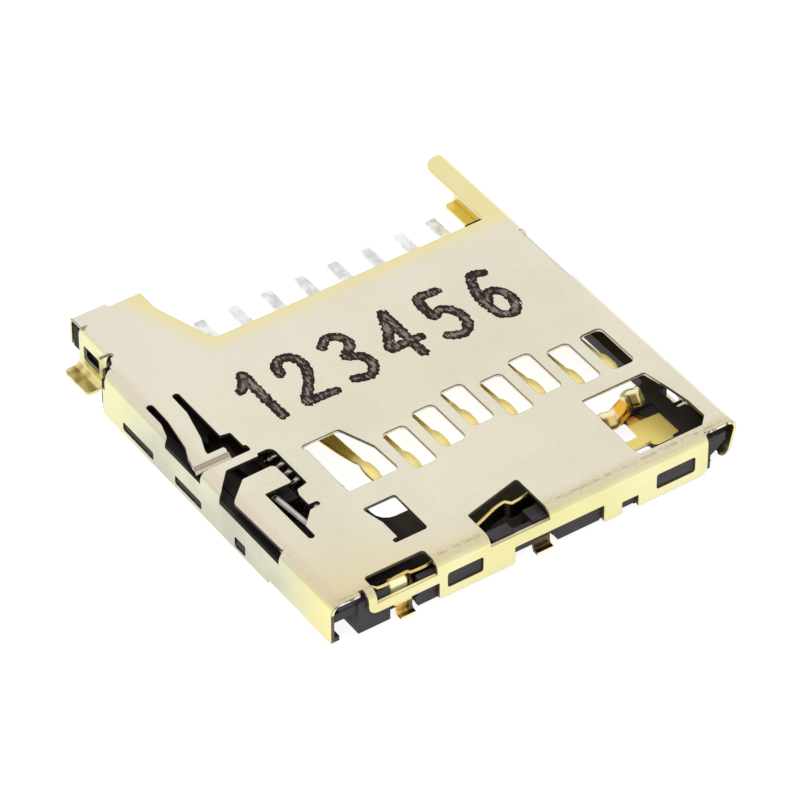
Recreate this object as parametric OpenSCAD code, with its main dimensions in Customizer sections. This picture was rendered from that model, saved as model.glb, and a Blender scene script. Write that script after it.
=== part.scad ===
// Push-push memory card socket, surface mounted.
// A folded metal shell snaps over a moulded base.
// The base carries the card contacts, the ejector and the card switch.
// X runs across the contact row, the card goes in along +Y, and Z = 0 is the circuit board.

/* [Shell] */
// Width across the side walls
shell_w = 12.95; // [12.95:0.05:13.1]
// Length from the finger tip to the deep wall
shell_l = 13.8; // [13.8:0.05:14.0]
// Height of the top face over the board
shell_h = 1.42; // [1.42:0.01:1.5]
// Thickness of the sheet
sheet_t = 0.1; // [0.08:0.01:0.12]
// Outer radius of the folds
bend_r = 0.3; // [0.25:0.01:0.32]

/* [Contacts] */
// Number of card contacts
contact_count = 8; // [8:1:8]
// Distance from one contact to the next
contact_pitch = 1.1; // [1.1:0.01:1.1]
// Thickness of a contact strip
contact_t = 0.12; // [0.1:0.01:0.13]
// Width of a soldering tail
tail_w = 0.35; // [0.3:0.01:0.4]
// Width of a contact where the base holds it
root_w = 0.55; // [0.5:0.01:0.56]
// Height of the contact crest over the board
crest_z = 0.96; // [0.9:0.01:1.0]
// How much deeper each group of crests sits than the next
crest_step = 0.26; // [0.2:0.01:0.28]

/* [Base] */
// Underside of the base over the board
base_z = 0.12; // [0.1:0.01:0.14]
// Face that the card slides on
floor_z = 0.48; // [0.46:0.01:0.5]
// Floor of the ejector channel
channel_z = 0.28; // [0.26:0.01:0.3]
// Top of the rails and blocks beside the channel
rail_z = 1.0; // [0.98:0.01:1.0]

/* [Ejector] */
// Longest travel of the slider
slider_travel = 3.0; // [2.6:0.1:3.0]
// Travel at which the slider latches
latch_travel = 2.5; // [2.2:0.1:2.5]
// Diameter of the latch wire
wire_d = 0.2; // [0.18:0.01:0.2]
// Outer diameter of the eject spring
spring_d = 0.86; // [0.8:0.01:0.86]
// Diameter of the spring wire
spring_wire = 0.16; // [0.13:0.01:0.16]
// Distance between two turns of the spring at rest
spring_pitch = 0.37; // [0.34:0.01:0.4]

/* [Switch] */
// Thickness of the switch blades
blade_t = 0.1; // [0.08:0.01:0.1]
// Lower edge of the blades
blade_z0 = 0.66; // [0.62:0.01:0.7]
// Upper edge of the blades
blade_z1 = 1.2; // [1.15:0.01:1.2]

/* [Hidden] */
$fn = 48;

// Corner segments of a rounded outline
corner_steps = 4;
// Anything that only has to pass right through
over = 1;

// The drawing datum is the row of contact crests, with contact 5 at X = 0
row_x0 = 5 * contact_pitch;
x_left = row_x0 - contact_count * contact_pitch - 1.15;
x_right = x_left + shell_w;
y_deep = 4.1;
y_front = y_deep - shell_l;
under_z = shell_h - sheet_t;
inner_left = x_left + sheet_t;
inner_right = x_right - sheet_t;
inner_deep = y_deep - sheet_t;

// Shell features
y_wing = y_deep - 0.17;
deep_x0 = -3.4;
deep_x1 = 7.45;
wall_front = -7.12;
arch_y = -6.64;
arch_right = 5.22;
lobe_left = 5.87;
lobe_step_x = 6.9;
lobe_front = -9.35;
lip_front = y_front + 0.08;
lobe_right = x_right - 0.5;
lip_r = 0.2;
lobe_wall_y0 = -9.12;
lobe_wall_y1 = -7.69;
lobe_foot_y1 = -7.92;
finger_right = -3.65;
finger_wall_y = -9.1;
foot_w = 0.4;
foot_t = sheet_t;
leaf_root_y = -5.1;
leaf_foot_y = -2.6;
leaf_drop = 2.2;
hook_root_y = 1.3;
hook_drop = 0.9;

// Card contacts: how many steps towards the mouth each crest stands
crest_steps = [1, 0, 1, 2, 1, 2, 1, 1];
crest_y0 = -0.04;
neck_w = 0.2;
spoon_w = 0.34;
root_y = -3.5;
strip_z = 0.31;
rail_front = -7.25;
tail_front = -8.75;
tail_bend_y = -7.95;

// Base features
card_left = inner_left + 0.1;
card_narrow = card_left + 9.7;
card_right = card_left + 11;
base_left = inner_left + 0.02;
base_right = inner_right - 0.02;
base_deep = inner_deep - 0.02;
well_left = -3.9;
well_right = 5.05;
well_deep = 1.12;
channel_left = card_narrow + 0.2;
channel_right = 8.05;
channel_deep = 2.75;
lobe_block_y = -9.45;
lobe_block_right = lobe_right - sheet_t - 0.02;
rail_y0 = -7.35;
corner_x = 7.7;
post_left = -4.05;
post_right = -3.5;
post_foot_z = 0.55;
blade_back = 3.83;

// Ejector features
run_z = rail_z + 0.03 + wire_d / 2;
pivot = [6.85, 3.05];
pin_start = [7.22, -0.72];
pin_length = norm(pin_start - pivot);
pin_angle = asin((pin_start.x - pivot.x) / pin_length);
pin_swing = 6.1;
slider_left = 6.6;
slider_right = channel_right - 0.03;
slider_z = channel_z + 0.02;
slider_deep = -0.42;
slider_front = -5.75;
arm_left = channel_left + 0.03;
spring_seat = -4.9;
spring_x = (arm_left + slider_left) / 2;
spring_z = slider_z + spring_d / 2;
spring_r = (spring_d - spring_wire) / 2;
track_w = wire_d + 0.08;
track_z = 0.76;
return_z = 0.84;
follower_z = track_z + 0.04;
pin_foot_z = 0.55;

// Switch features
post_z = under_z - 0.07;
block_z = under_z - 0.14;
terminal_y = base_deep - 0.17;
blade_term_x = 6.4;
blade_tail_x = 6.2;
plate_term_x = 1.86;
plate_z = 0.3;

// Point list helpers
function flat(p) = [p.x, p.y];
function unit(v) = v / norm(v);
function on_circle(r, a) = r * [cos(a), sin(a)];
function arc_points(c, r, a0, sweep, n) = [for (i = [0:n]) c + on_circle(r, a0 + sweep * i / n)];
function signed_sweep(a) = a > 180 ? a - 360 : a < -180 ? a + 360 : a;

// Replaces the corner b between a and c by an arc of radius r
function fillet(a, b, c, r) =
  let (u = unit(a - b), v = unit(c - b), half = acos(u * v) / 2)
  let (centre = b + unit(u + v) * r / sin(half))
  let (p = b + u * r / tan(half) - centre, q = b + v * r / tan(half) - centre)
  let (a0 = atan2(p.y, p.x), a1 = atan2(q.y, q.x))
  arc_points(centre, r, a0, signed_sweep(a1 - a0), corner_steps);

// Turns a list of [x, y, corner radius] into the points of a rounded outline
function outline(pts) =
  let (n = len(pts))
  [for (i = [0:n - 1])
    each pts[i].z > 0
      ? fillet(flat(pts[(i + n - 1) % n]), flat(pts[i]), flat(pts[(i + 1) % n]), pts[i].z)
      : [flat(pts[i])]];

// Rectangle from corner to corner, as rounded outline points
function frame_points(x0, y0, x1, y1, r) = [[x0, y0, r], [x1, y0, r], [x1, y1, r], [x0, y1, r]];

// Mitre direction at point i of an open path
function path_dir(path, i) =
  let (n = len(path) - 1)
  i == 0 ? unit(path[1] - path[0])
    : i == n ? unit(path[n] - path[n - 1])
    : unit(unit(path[i + 1] - path[i]) + unit(path[i] - path[i - 1]));

function path_side(path, i, h) =
  let (n = len(path) - 1, d = path_dir(path, i))
  let (e = unit(path[min(i + 1, n)] - path[min(i, n - 1)]))
  path[i] + [-d.y, d.x] * h / (d * e);

// Outline of a strip of thickness t whose middle follows an open path
function strip_points(path, t) =
  concat(
    [for (i = [0:len(path) - 1]) path_side(path, i, t / 2)],
    [for (i = [len(path) - 1:-1:0]) path_side(path, i, -t / 2)]);

// Upright prism between two heights
module slab(pts, z0, z1) {
  translate([0, 0, z0])
    linear_extrude(z1 - z0)
      polygon(outline(pts));
}

// Prism drawn in X and Z, from y0 to y1
module along_y(y0, y1) {
  translate([0, y1, 0])
    rotate([90, 0, 0])
      linear_extrude(y1 - y0)
        children();
}

// Prism drawn in Y and Z, from x0 to x1
module along_x(x0, x1) {
  translate([x0, 0, 0])
    rotate([90, 0, 90])
      linear_extrude(x1 - x0)
        children();
}

module block(x0, y0, z0, x1, y1, z1) {
  translate([x0, y0, z0])
    cube([x1 - x0, y1 - y0, z1 - z0]);
}

// Moves the drawing datum so that the origin is under the middle of the part
module placed() {
  translate([-(x_left + x_right) / 2, -(y_front + y_deep) / 2, 0])
    children();
}

// Section of a sheet folded down at its low side, its high side, or both
module folded_section(a0, a1, low_fold, high_fold, r = bend_r) {
  difference() {
    fold_outline(a0, a1, shell_h, low_fold ? r : 0, high_fold ? r : 0);
    fold_outline(a0 + (low_fold ? sheet_t : -over), a1 - (high_fold ? sheet_t : -over), under_z,
      low_fold ? r - sheet_t : 0, high_fold ? r - sheet_t : 0, -over);
  }
}

// Block whose two upper corners are rounded where a radius is given
module fold_outline(a0, a1, top, r0, r1, bottom = 0) {
  union() {
    translate([a0, bottom])
      square([a1 - a0, top - bottom - max(r0, r1)]);
    translate([a0 + r0, bottom])
      square([a1 - a0 - r0 - r1, top - bottom]);
    if (r0 > 0)
      translate([a0 + r0, top - r0])
        circle(r0);
    if (r1 > 0)
      translate([a1 - r1, top - r1])
        circle(r1);
  }
}

// Main channel of the shell: the top and both side walls
module shell_channel() {
  intersection() {
    along_y(wall_front, y_wing)
      folded_section(x_left, x_right, true, true);
    union() {
      block(x_left - over, wall_front - over, -over, x_right - 1, y_wing + over, 2);
      along_x(x_right - 1, x_right + over)
        polygon(outline([
          [wall_front, shell_h + over, 0], [wall_front, 0, 0.15], [0.95, 0, 0.03],
          [1.0, 0.13, 0.03], [y_wing, 0.13, 0.05], [y_wing, shell_h + over, 0]
        ]));
    }
  }
}

// Wall at the deep end, with the strap that crosses over the switch terminal
module deep_wall() {
  intersection() {
    along_x(deep_x0, deep_x1)
      folded_section(y_deep - 1.5, y_deep, false, true);
    along_y(y_deep - 3, y_deep + over)
      polygon(outline([
        [deep_x1, shell_h + over, 0], [deep_x1, 0.7, 0.3], [5.25, 0.7, 0.04], [5.25, 0.13, 0.08],
        [2.85, 0.13, 0.08], [2.85, 0.7, 0.04], [0, 0.7, 0.04], [0, 0.1, 0.08],
        [-0.6, 0.1, 0.04], [-0.6, 0.5, 0.02], [-1.12, 0.5, 0.02], [-1.12, 0.1, 0.04],
        [deep_x0, 0.1, 0.25], [deep_x0, shell_h + over, 0]
      ]));
  }
}

// Lobe beside the mouth: top, lip, and the inset side wall with its soldering foot
module entry_lobe() {
  slab([
    [arch_right - 1, lobe_front, 0], [lobe_step_x, lobe_front, 0.03], [lobe_step_x, lip_front + lip_r, 0],
    [lobe_right - 0.03, lip_front + lip_r, 0], [lobe_right - 0.03, lobe_wall_y0 - 0.12, 0],
    [lobe_right - 0.17, lobe_wall_y0, 0], [lobe_right - bend_r, lobe_wall_y0 + 0.03, 0],
    [lobe_right - bend_r, wall_front + 0.1, 0],
    [arch_right - 1, wall_front + 0.1, 0]
  ], under_z, shell_h);
  block(lobe_right - 0.4, lobe_wall_y1 - 0.05, under_z, x_right - bend_r, wall_front + 0.1, shell_h);
  along_y(lobe_wall_y0, lobe_wall_y1)
    intersection() {
      folded_section(lobe_right - 1, lobe_right, false, true);
      translate([lobe_right - 1, 0.95])
        square([1 + over, shell_h]);
    }
  // Wall below the fold, cut back at its deep edge
  along_x(lobe_right - sheet_t, lobe_right)
    polygon([
      [lobe_wall_y0, bend_r], [lobe_foot_y1, bend_r], [lobe_foot_y1, 0.72],
      [lobe_wall_y1, 0.98], [lobe_wall_y1, 1.05], [lobe_wall_y0, 1.05]
    ]);
  along_x(lobe_step_x, lobe_right - 0.03)
    intersection() {
      folded_section(lip_front, lip_front + 0.6, true, false, lip_r);
      translate([lip_front - over, 0.5])
        square([over + 0.6, shell_h]);
    }
  lobe_foot();
}

// Foot turned outwards from the bottom of the inset wall
module lobe_foot() {
  bend_x = lobe_right - sheet_t + bend_r;
  intersection() {
    along_y(lobe_wall_y0, lobe_foot_y1)
      difference() {
        union() {
          translate([lobe_right - sheet_t, bend_r])
            square([sheet_t, 0.1]);
          translate([bend_x, 0])
            square([x_right - bend_x, foot_t]);
          intersection() {
            translate([bend_x, bend_r])
              circle(bend_r);
            translate([lobe_right - sheet_t, 0])
              square(bend_r);
          }
        }
        translate([bend_x, bend_r])
          circle(bend_r - sheet_t);
      }
    slab(frame_points(lobe_right - 0.5, lobe_wall_y0, x_right, lobe_foot_y1, 0.12), -over, shell_h);
  }
}

// Finger on the far side of the mouth, with a wall and a foot turned inwards
module entry_finger() {
  intersection() {
    along_y(y_front, wall_front + 0.2)
      folded_section(x_left, x_left + 2, true, false);
    union() {
      slab([
        [x_left, wall_front + over, 0], [x_left, y_front, 0.2], [finger_right, y_front, 0.45],
        [finger_right, wall_front + over, 0]
      ], 0.95, shell_h + over);
      block(x_left - over, finger_wall_y, -over, x_left + bend_r, wall_front + over, 1);
    }
  }
  slab([
    [x_left, finger_wall_y, 0], [x_left + foot_w, finger_wall_y, 0.1],
    [x_left + foot_w, -8.0, 0.1], [x_left, -8.0, 0]
  ], 0, foot_t);
}

// Opening round the straight leaf, which runs on through the side fold
module leaf_opening() {
  slab([
    [7.25, -5.3, 0.09], [7.45, -5.3, 0.09], [7.45, leaf_root_y, 0], [8.07, leaf_root_y, 0],
    [8.07, -5.3, 0.09], [8.27, -5.3, 0.09], [8.27, -4.5, 0.5], [8.4, -4.0, 0.12],
    [x_right + 0.4, -3.86, 0], [x_right + 0.4, -2.0, 0], [8.45, -2.3, 0.2],
    [6.87, -2.3, 0.06], [6.87, -2.52, 0.05], [6.96, -2.56, 0.02], [6.96, -3.17, 0.05], [7.25, -3.22, 0.04]
  ], 1.06, shell_h + over);
}

// Opening round the hooked leaf
module hook_opening() {
  slab([
    [7.32, 1.46, 0.085], [7.5, 1.46, 0.085], [7.5, hook_root_y, 0], [8.33, hook_root_y, 0],
    [8.33, 1.42, 0.03], [x_right + 0.4, 1.62, 0], [x_right + 0.4, -1.05, 0], [8.62, -1.25, 0.1],
    [8.38, -1.4, 0.05], [7.85, -1.98, 0.1], [6.85, -1.98, 0.02], [6.82, -2.08, 0.05],
    [6.37, -2.08, 0.2], [6.37, -0.4, 0.03], [6.72, -0.32, 0.06], [6.8, -0.12, 0.08],
    [6.8, 0.34, 0.03], [6.52, 0.34, 0.075], [6.52, 0.5, 0.075], [6.87, 0.52, 0.05], [7.32, 0.98, 0.04]
  ], 1.06, shell_h + over);
}

// Straight leaf, bent down towards its foot, whose edge is turned down to rub on the slider
module leaf_tongue() {
  root = leaf_root_y - 0.1;
  translate([0, root, shell_h])
    rotate([-leaf_drop, 0, 0])
      translate([0, -root, -shell_h]) {
        slab([
          [7.45, root, 0], [8.07, root, 0], [8.07, -4.5, 0.4], [8.15, -3.9, 0.4], [8.22, -3.4, 0.3],
          [8.38, -3.03, 0.2], [8.45, -2.68, 0.05], [8.45, leaf_foot_y, 0], [7.36, leaf_foot_y, 0],
          [7.36, -2.7, 0.02], [7.33, -2.78, 0.03], [7.36, -2.88, 0.04], [7.86, -2.88, 0.03],
          [7.84, -3.02, 0.1], [7.66, -3.5, 0.4], [7.45, -4.5, 0.4]
        ], under_z, shell_h);
        translate([0, leaf_foot_y, under_z])
          rotate([-40, 0, 0])
            block(7.36, -0.1, 0, 8.45, 0.13, sheet_t);
      }
}

// Hooked leaf, whose foot holds the latch wire down
module hook_tongue() {
  root = hook_root_y + 0.1;
  translate([0, root, shell_h])
    rotate([hook_drop, 0, 0])
      translate([0, -root, -shell_h])
        slab([
          [7.5, root, 0], [8.33, root, 0], [8.37, -0.8, 0.08], [8.28, -0.93, 0.05], [7.66, -1.5, 0.08],
          [6.67, -1.52, 0.14], [6.65, -0.66, 0.08], [7.5, -0.66, 0.03]
        ], under_z, shell_h);
}

// Opening over one contact, drawn at its own pitch line
module contact_window(k) {
  cx = contact_x(k) + 0.06;
  cy = crest_y0 + 0.01 - crest_step * crest_steps[k - 1];
  slab(frame_points(cx - 0.375, cy - 0.83, cx + 0.36, cy + 0.81, 0.17), 1, shell_h + over);
}

// Wide opening over contact 1
module first_window() {
  slab([
    [4.05, 0.52, 0.16], [5.65, 0.52, 0.03], [5.65, 0.3, 0], [5.73, 0.4, 0.03], [5.66, 0.2, 0],
    [5.65, -1.45, 0], [5.73, -1.6, 0.04], [5.66, -1.67, 0.03], [4.52, -1.67, 0.12], [4.1, -0.6, 0.3]
  ], 1, shell_h + over);
}

// Wide openings over the switch and the deep corner
module switch_windows() {
  // Over the lever
  slab([
    [-3.5, 1.05, 0.06], [-1.45, 1.05, 0.05], [-1.45, 3.62, 0.08], [-3.52, 3.62, 0.05],
    [-3.8, 3.34, 0.08], [-3.8, 2.65, 0.3], [-3.68, 1.9, 0.3]
  ], 1, shell_h + over);
  // Over the lever's root, running over the fold
  slab([
    [1.76, 2.58, 0.08], [3.62, 3.02, 0.06], [3.62, y_deep + over, 0], [1.76, y_deep + over, 0]
  ], 1.13, shell_h + over);
  // Over the spring's terminal, running over the fold
  slab([
    [5.32, 3.45, 0.1], [7.18, 3.45, 0.1], [7.18, y_deep + over, 0], [5.32, y_deep + over, 0]
  ], 1.03, shell_h + over);
  // Square inspection opening
  slab([
    [4.73, 1.28, 0.08], [5.74, 1.28, 0.06], [5.72, 1.42, 0.03], [5.58, 2.0, 0.1], [5.58, 2.66, 0.02],
    [5.76, 2.68, 0.06], [5.76, 2.82, 0.06], [4.73, 2.82, 0.1]
  ], 1, shell_h + over);
}

// Openings in the upright walls, most of which catch a boss of the base
module wall_windows() {
  for (s = right_slots)
    along_x(x_right - 0.3, x_right + over)
      polygon(outline(frame_points(s[0], s[2], s[1], s[3], 0.06)));
  for (s = [each left_slots, left_gap])
    along_x(x_left - over, x_left + 0.3)
      polygon(outline(frame_points(s[0], s[2], s[1], s[3], 0.06)));
  for (s = deep_slots)
    along_y(inner_deep - 0.1, y_deep + over)
      polygon(outline(frame_points(s[0], s[2], s[1], s[3], 0.07)));
  along_x(lobe_right - 0.3, lobe_right + 0.1)
    polygon(outline(frame_points(-8.87, 0.42, -8.1, 0.9, 0.07)));
}

// Each entry is low end, high end, low edge, high edge
right_slots = [[-6.1, -4.6, 0.15, 0.42], [-3.52, -2.24, 0.15, 0.42], [-0.62, -0.12, 0.1, 0.44]];
left_slots = [[-6.1, -4.6, 0.15, 0.42], [-2.6, -1.4, 0.15, 0.42], [1.9, 2.9, 0.15, 0.42]];
// Opening in the left wall with nothing behind it
left_gap = [0.75, 1.5, 0.1, 0.42];
deep_slots = [[3.87, 4.98, 0.42, 0.9], [-2.97, -1.72, 0.4, 0.9]];

module shell() {
  color([0.9, 0.85, 0.68])
    placed() {
      difference() {
        union() {
          difference() {
            shell_channel();
            block(deep_x0, y_deep - bend_r, under_z - over, deep_x1 + 0.13, y_deep + over, 2);
            // Left fold cut back beside the mouth
            block(x_left - over, -5.72, 1.12, x_left + 0.25, -3.35, 2);
            // Left wall ends in a rounded tongue at the deep end
            along_x(x_left - over, x_left + 0.5)
              difference() {
                translate([y_wing - 0.45, -over])
                  square([over, over + 0.45]);
                translate([y_wing - 0.45, 0.45])
                  circle(0.45);
              }
          }
          deep_wall();
          entry_lobe();
          entry_finger();
        }
        // Mouth
        slab([
          [finger_right, y_front - over, 0], [finger_right, arch_y - 0.02, 0.08], [arch_right, arch_y, 0.2],
          [lobe_left, -8.6, 1.5], [lobe_left, y_front - over, 0]
        ], -over, shell_h + over);
        // Relief between the lobe and the right wall
        slab([
          [7.84, lobe_wall_y1, 0.08], [x_right + over, lobe_wall_y1, 0],
          [x_right + over, -7.0, 0], [x_right, -7.0, 0.05], [8.3, -7.12, 0.2], [8.06, -7.3, 0.1],
          [7.98, -7.52, 0.07], [7.84, -7.53, 0.07]
        ], 0.9, shell_h + over);
        leaf_opening();
        hook_opening();
        first_window();
        for (k = [2:contact_count])
          contact_window(k);
        switch_windows();
        wall_windows();
      }
      leaf_tongue();
      hook_tongue();
    }
}

// X of contact k, counted from the ejector side
function contact_x(k) = row_x0 - k * contact_pitch;

// Middle line of a contact strip in Y and Z
function contact_path(k) =
  let (cy = crest_y0 - crest_step * crest_steps[k - 1])
  [
    [tail_front, contact_t / 2], [tail_bend_y, contact_t / 2], [rail_front - 0.2, strip_z],
    [root_y, strip_z], [cy - 0.42, crest_z - 0.14], [cy - 0.18, crest_z - 0.075],
    [cy, crest_z - 0.06], [cy + 0.2, crest_z - 0.09], [cy + 0.42, crest_z - 0.2]
  ];

// Outline of a contact strip seen from above: tail, held root, tapering beam and rounded tip
module contact_plan(k) {
  cy = crest_y0 - crest_step * crest_steps[k - 1];
  cx = contact_x(k);
  half = [
    [tail_front, tail_w / 2, 0.05], [rail_front - 0.1, tail_w / 2, 0.04],
    [rail_front - 0.1, root_w / 2, 0.04], [root_y + 0.15, root_w / 2, 0.1],
    [cy - 0.4, neck_w / 2, 0.1], [cy - 0.34, spoon_w / 2, 0.06], [cy + 0.42, spoon_w / 2 - 0.02, 0.12]
  ];
  n = len(half);
  slab(concat(
    [for (h = half) [cx + h.y, h.x, h.z]],
    [for (i = [n - 1:-1:0]) [cx - half[i].y, half[i].x, half[i].z]]
  ), -over, 2);
}

module contact(k) {
  color([0.95, 0.8, 0.42])
    placed()
      intersection() {
        along_x(contact_x(k) - 0.5, contact_x(k) + 0.5)
          polygon(strip_points(contact_path(k), contact_t));
        contact_plan(k);
      }
}

// Moulded base
module housing() {
  color([0.13, 0.13, 0.15])
    placed()
      difference() {
        union() {
          base_floor();
          channel_walls();
          deep_end();
          latch_bosses();
        }
        // Tunnels that hold the contacts
        for (k = [1:contact_count])
          block(contact_x(k) - root_w / 2, rail_front - over, strip_z - contact_t / 2,
            contact_x(k) + root_w / 2, root_y + over, strip_z + contact_t / 2);
        // Seat of the switch plate
        plate_solid();
        // Slots for the two terminals
        block(5.9, terminal_y, -over, 6.7, y_deep, 2);
        block(5.2, base_deep - 0.2, blade_z0 - 0.05, 5.35, blade_back, 2);
        block(plate_term_x - 0.28, terminal_y, -over, plate_term_x + 0.28, y_deep, floor_z + 0.02);
        // Bore in which the latch wire turns
        translate([pivot.x, pivot.y, 0.5])
          cylinder(r = wire_d / 2 + 0.02, h = 1);
      }
}

// Floor with the open well under the contact beams
module base_floor() {
  difference() {
    slab([
      [base_left, -7.65, 0.05], [-3.7, -7.65, 0.05], [-3.7, rail_front, 0.05], [5.4, rail_front, 0.2],
      [5.55, -9.0, 0.2], [lobe_block_right, -9.0, 0.1], [lobe_block_right, -7.6, 0],
      [base_right, rail_y0, 0.05], [base_right, 3.2, 0.05], [corner_x, 3.2, 0], [corner_x, base_deep, 0],
      [post_right, base_deep, 0.02], [post_right, 3.4, 0.1], [base_left, 3.3, 0.1],
      [base_left, 1.85, 0.03], [-4.05, 1.85, 0.05], [-4.05, 1.04, 0.05], [base_left, 1.04, 0.03]
    ], base_z, floor_z);
    // Well under the beams
    slab([
      [well_left, root_y, 0.2], [well_right, root_y, 0.2], [well_right, well_deep, 0.45],
      [-1.0, well_deep, 0.1], [-1.6, 1.28, 0.15], [well_left, 0.5, 0.15]
    ], -over, floor_z + over);
    // Second opening beside the switch plate
    slab([
      [-2.62, 1.4, 0.1], [-1.9, 1.54, 0], [-1.2, 1.86, 0.15], [-1.2, 2.14, 0], [-2.58, 2.14, 0]
    ], -over, floor_z + over);
    slab([
      [-2.9, 1.25, 0.1], [-1.9, 1.4, 0], [-1.2, 1.74, 0.1], [-1.2, 2.14, 0], [-2.9, 2.14, 0.1]
    ], -over, plate_z);
    // Third opening behind the plate
    slab(frame_points(-2.7, 2.64, -0.3, 3.3, 0.1), -over, floor_z + over);
    slab(frame_points(-2.75, 2.34, -0.3, 3.3, 0.1), -over, plate_z);
    // Recess that lays the pad of the switch plate open
    slab([[-3.6, 1.3, 0.05], [-1.2, 1.3, 0.05], [-1.2, 2.76, 0.05], [-3.6, 2.76, 0.05]],
      plate_z + blade_t, floor_z + over);
    // Ejector channel
    block(channel_left, -8.8, channel_z, channel_right, channel_deep, floor_z + over);
    // Underside cut back round the terminals
    block(5.56, 3.4, -over, 7.11, 4, 0.25);
    block(1.4, 3.3, -over, 2.95, 4, 0.42);
    block(-1.05, 3.5, -over, 0.05, 4, 0.16);
  }
}

// Rails and blocks beside the ejector channel
module channel_walls() {
  // Outer rail
  block(channel_right, rail_y0, base_z, base_right, 3.2, rail_z);
  // Inner rail between the spring and the card
  block(card_narrow + 0.05, -1.8, floor_z - 0.1, channel_left, channel_deep + 0.1, 0.92);
  // Block under the lobe, which stops the slider
  block(card_right + 0.07, lobe_wall_y0 - 0.06, base_z, lobe_block_right - 0.07, -7.5, post_z);
  block(card_right + 0.07, lobe_block_y, 0.5, lobe_right - 0.03, lobe_wall_y0 - 0.02, post_z);
}

// Blocks behind the card, with the posts that back the switch blade
module deep_end() {
  block(card_narrow + 0.05, channel_deep, channel_z - 0.1, corner_x, 3.48, rail_z);
  block(corner_x, channel_deep, channel_z - 0.1, base_right, 3.2, rail_z);
  block(corner_x - 0.1, channel_deep + 0.2, 0.84, base_right - 0.13, y_wing - 0.05, post_z);
  block(corner_x - 0.1, channel_deep + 0.2, 0.82, base_right, y_wing - 0.02, 1.1);
  // Skirt that runs on inside the right wall
  block(base_right - 0.16, channel_deep + 0.2, base_z, base_right, y_wing - 0.04, channel_z);
  // Wall between the corner and the terminal
  block(6.7, blade_back, base_z, corner_x, base_deep, 1.15);
  block(7.2, 3.4, base_z, corner_x, base_deep, block_z);
  // Block at the other side of the terminal
  block(5.24, blade_back, base_z, 5.84, base_deep, 1.1);
  // Thin wall behind the card
  block(post_right, base_deep - 0.15, floor_z - 0.1, 5.3, base_deep, 0.95);
  // Posts
  block(1.74, 3.45, floor_z - 0.1, 2.2, base_deep, block_z);
  block(2.8, base_deep - 0.38, floor_z - 0.1, 3.5, base_deep, block_z);
  block(1.74, base_deep - 0.15, floor_z - 0.1, 3.5, base_deep, 1.12);
  // Rib across the notch in the left edge of the floor
  block(base_left, 1.65, floor_z - 0.08, -4, 1.72, floor_z);
  // Corner post at the far side, cut away under its outer corner
  along_y(3.45, base_deep)
    polygon([
      [post_left, block_z], [post_left, 0.92], [post_left + 0.34, post_foot_z],
      [post_right + 0.4, post_foot_z], [post_right + 0.4, block_z]
    ]);
  block(post_right, 3.45, floor_z - 0.1, post_right + 0.4, base_deep, block_z);
  // Peg inside the eject spring
  translate([spring_x, channel_deep + 0.1, spring_z])
    rotate([90, 0, 0])
      cylinder(r = 0.2, h = 0.55);
}

// Bosses that catch in the openings of the shell
module latch_bosses() {
  for (s = right_slots)
    block(base_right - 0.3, s[0] + 0.03, s[2] + 0.03, x_right - 0.04, s[1] - 0.03, s[3] - 0.03);
  for (s = left_slots)
    block(x_left + 0.04, s[0] + 0.03, s[2] + 0.03, base_left + 0.3, s[1] - 0.03, s[3] - 0.03);
  for (s = deep_slots)
    block(s[0] + 0.03, base_deep - 0.2, s[2] + 0.03, s[1] - 0.03, y_deep - 0.04, s[3] - 0.03);
}

// Angle of the latch wire when the slider has moved by s
function swing_at(s) = pin_angle + pin_swing * s / slider_travel;

// Place of the wire's follower on the slider when the slider has moved by s
function track_point(s) = pivot + pin_length * [sin(swing_at(s)), -cos(swing_at(s))] - [0, s];

// Closed outline of a groove whose middle follows a path
module groove(path, z) {
  translate([0, 0, z])
    linear_extrude(over)
      polygon(strip_points(path, track_w));
  for (p = [path[0], path[len(path) - 1]])
    translate([p.x, p.y, z])
      cylinder(r = track_w / 2, h = over);
}

// Heart-shaped track
// The wire goes in along one side of the island, rests in its notch, and returns along the other side
module heart_track() {
  in_path = [for (i = [0:10]) track_point(slider_travel * i / 10)];
  far = track_point(slider_travel);
  latch = [far.x - 0.2, track_point(latch_travel).y];
  home = track_point(0.35);
  groove(in_path, track_z);
  groove([far, latch + [0, -0.02]], track_z);
  groove([latch, [latch.x - 0.25, far.y - 0.02]], track_z + 0.02);
  groove([[latch.x - 0.25, far.y - 0.02], [6.9, far.y + 0.45], [6.9, home.y - 0.75], home], return_z);
}

// Slider that carries the card and turns round the latch wire's follower
module slider() {
  color([0.2, 0.2, 0.22])
    placed()
      difference() {
        union() {
          slab([
            [slider_left, slider_front, 0.05], [slider_right, slider_front, 0.05],
            [slider_right, slider_deep, 0.1], [slider_left, slider_deep, 0.05]
          ], slider_z, rail_z);
          // Arm with the spring seat on one side and the card stop on the other
          slab([
            [arm_left, -6.1, 0.05], [card_right - 0.1, -7.2, 0.05], [7.5, -7.2, 0.1],
            [7.5, slider_front + 0.1, 0], [slider_left + 0.1, slider_front + 0.1, 0],
            [slider_left + 0.1, spring_seat, 0], [arm_left, spring_seat, 0.05]
          ], slider_z, 1.12);
          // Peg inside the eject spring
          translate([spring_x, spring_seat + 0.55, spring_z])
            rotate([90, 0, 0])
              cylinder(r = 0.2, h = 0.6);
        }
        heart_track();
        // Chamfer that leads the card's corner in
        translate([arm_left - 0.1, -6.1, 1.12])
          rotate([0, 0, -43])
            rotate([45, 0, 0])
              cube([1.8, 0.12, 0.12], center = true);
      }
}

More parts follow.
